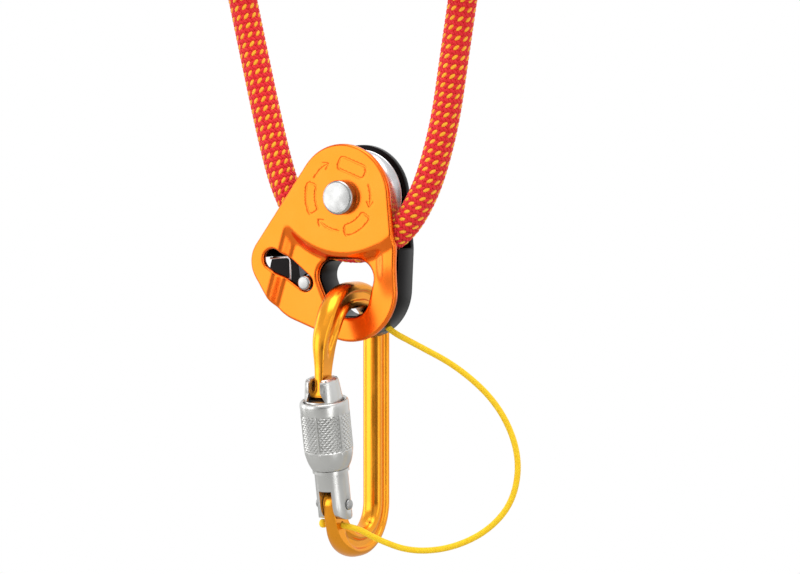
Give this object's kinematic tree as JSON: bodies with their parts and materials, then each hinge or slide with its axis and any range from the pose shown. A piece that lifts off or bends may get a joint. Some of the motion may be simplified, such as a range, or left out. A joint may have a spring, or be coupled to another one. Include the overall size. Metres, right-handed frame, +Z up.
{
  "type": "rope pulley with locking cam",
  "caption": "Pulley with a toothed cam that locks the rope, swinging side plate, locking carabiner and keeper cord, hung in a slack rope bight.",
  "frame": {"origin": "centre of the sheave, midway between the side plates", "axes": "+Z up along the hanging load, +Y along the sheave's axle from the swinging front plate to the fixed rear body, +X to the rope's free side"},
  "size_m": [0.141, 0.0559, 0.2526],
  "materials": {
    "orange_plate": "orange anodised, satin, softly rounded edges",
    "black_body": "black anodised, satin",
    "axle_steel": "stainless, turned face",
    "bare_aluminium": "bright turned aluminium",
    "bearing_steel": "ground bearing steel",
    "cage_nylon": "moulded",
    "cam_steel": "dark plated steel",
    "spring_steel": "drawn wire",
    "gold_carabiner": "golden yellow anodised, glossy",
    "satin_gate": "satin silver",
    "satin_sleeve": "satin silver, diamond knurl",
    "yellow_cord": "woven thin cord",
    "red_rope": "woven sheath, red with yellow flecks"
  },
  "bodies": {
    "root": {"rear_body": "black_body", "axle": "axle_steel", "axle_washers": "axle_steel", "bearing_inner_ring": "bearing_steel", "cam_axle": "axle_steel", "cam_spring": "spring_steel", "rope_left": "red_rope", "rope_right": "red_rope", "rope_knot_left": "red_rope", "rope_knot_right": "red_rope"},
    "front_plate": {"front_side_plate": "orange_plate"},
    "sheave_wheel": {"sheave": "bare_aluminium", "bearing_outer_ring": "bearing_steel", "bearing_shields": "bearing_steel"},
    "ball_set": {"bearing_balls": "bearing_steel", "bearing_cage": "cage_nylon"},
    "cam": {"cam": "cam_steel"},
    "carabiner": {"carabiner_frame": "gold_carabiner", "gate_rivet": "axle_steel", "keeper_cord": "yellow_cord", "keeper_knot": "yellow_cord"},
    "gate": {"gate_barrel": "satin_gate", "gate_plunger": "axle_steel", "gate_spring": "spring_steel"},
    "sleeve_follower": {"sleeve_ring": "satin_gate"},
    "sleeve": {"locking_sleeve": "satin_sleeve"}
  },
  "joints": [
    {"name": "front_plate_swing", "type": "hinge", "parent": "root", "child": "front_plate", "pos_m": [0, 0, 0], "axis": [0, -1, 0], "range_deg": [0, 3]},
    {"name": "sheave_turn", "type": "hinge", "parent": "root", "child": "sheave_wheel", "pos_m": [0, 0, 0], "axis": [0, 1, 0], "continuous": true},
    {"name": "ball_set_turn", "type": "hinge", "parent": "root", "child": "ball_set", "pos_m": [0, 0, 0], "axis": [0, 1, 0], "continuous": true},
    {"name": "cam_swing", "type": "hinge", "parent": "root", "child": "cam", "pos_m": [-0.0187, 0, -0.0335], "axis": [0, -1, 0], "range_deg": [0, 45], "stiffness_Nm_per_rad": 0.01, "springref_deg": -34.38, "deforming": ["cam_spring"]},
    {"name": "carabiner_swing", "type": "hinge", "parent": "root", "child": "carabiner", "pos_m": [-0.0006, 0, -0.038], "axis": [0, 1, 0], "range_deg": [-20, 20], "deforming": ["keeper_cord"]},
    {"name": "gate_swing", "type": "hinge", "parent": "carabiner", "child": "gate", "pos_m": [-0.0006, -0.0137, -0.1173], "axis": [1, 0, 0], "range_deg": [-25, 0], "stiffness_Nm_per_rad": 0.05, "springref_deg": 17.19},
    {"name": "sleeve_lift", "type": "slide", "parent": "gate", "child": "sleeve_follower", "axis": [0, -0.1889, 0.982], "range_m": [0, 0.0065]},
    {"name": "sleeve_screw", "type": "hinge", "parent": "sleeve_follower", "child": "sleeve", "pos_m": [-0.0006, -0.0137, -0.1173], "axis": [0, -0.1889, 0.982], "range_deg": [0, 900]}
  ],
  "couplings": [
    {"joint": "ball_set_turn", "follows": "sheave_turn", "ratio": 0.632},
    {"joint": "sleeve_screw", "follows": "sleeve_lift", "rad_per_m": 2416}
  ]
}
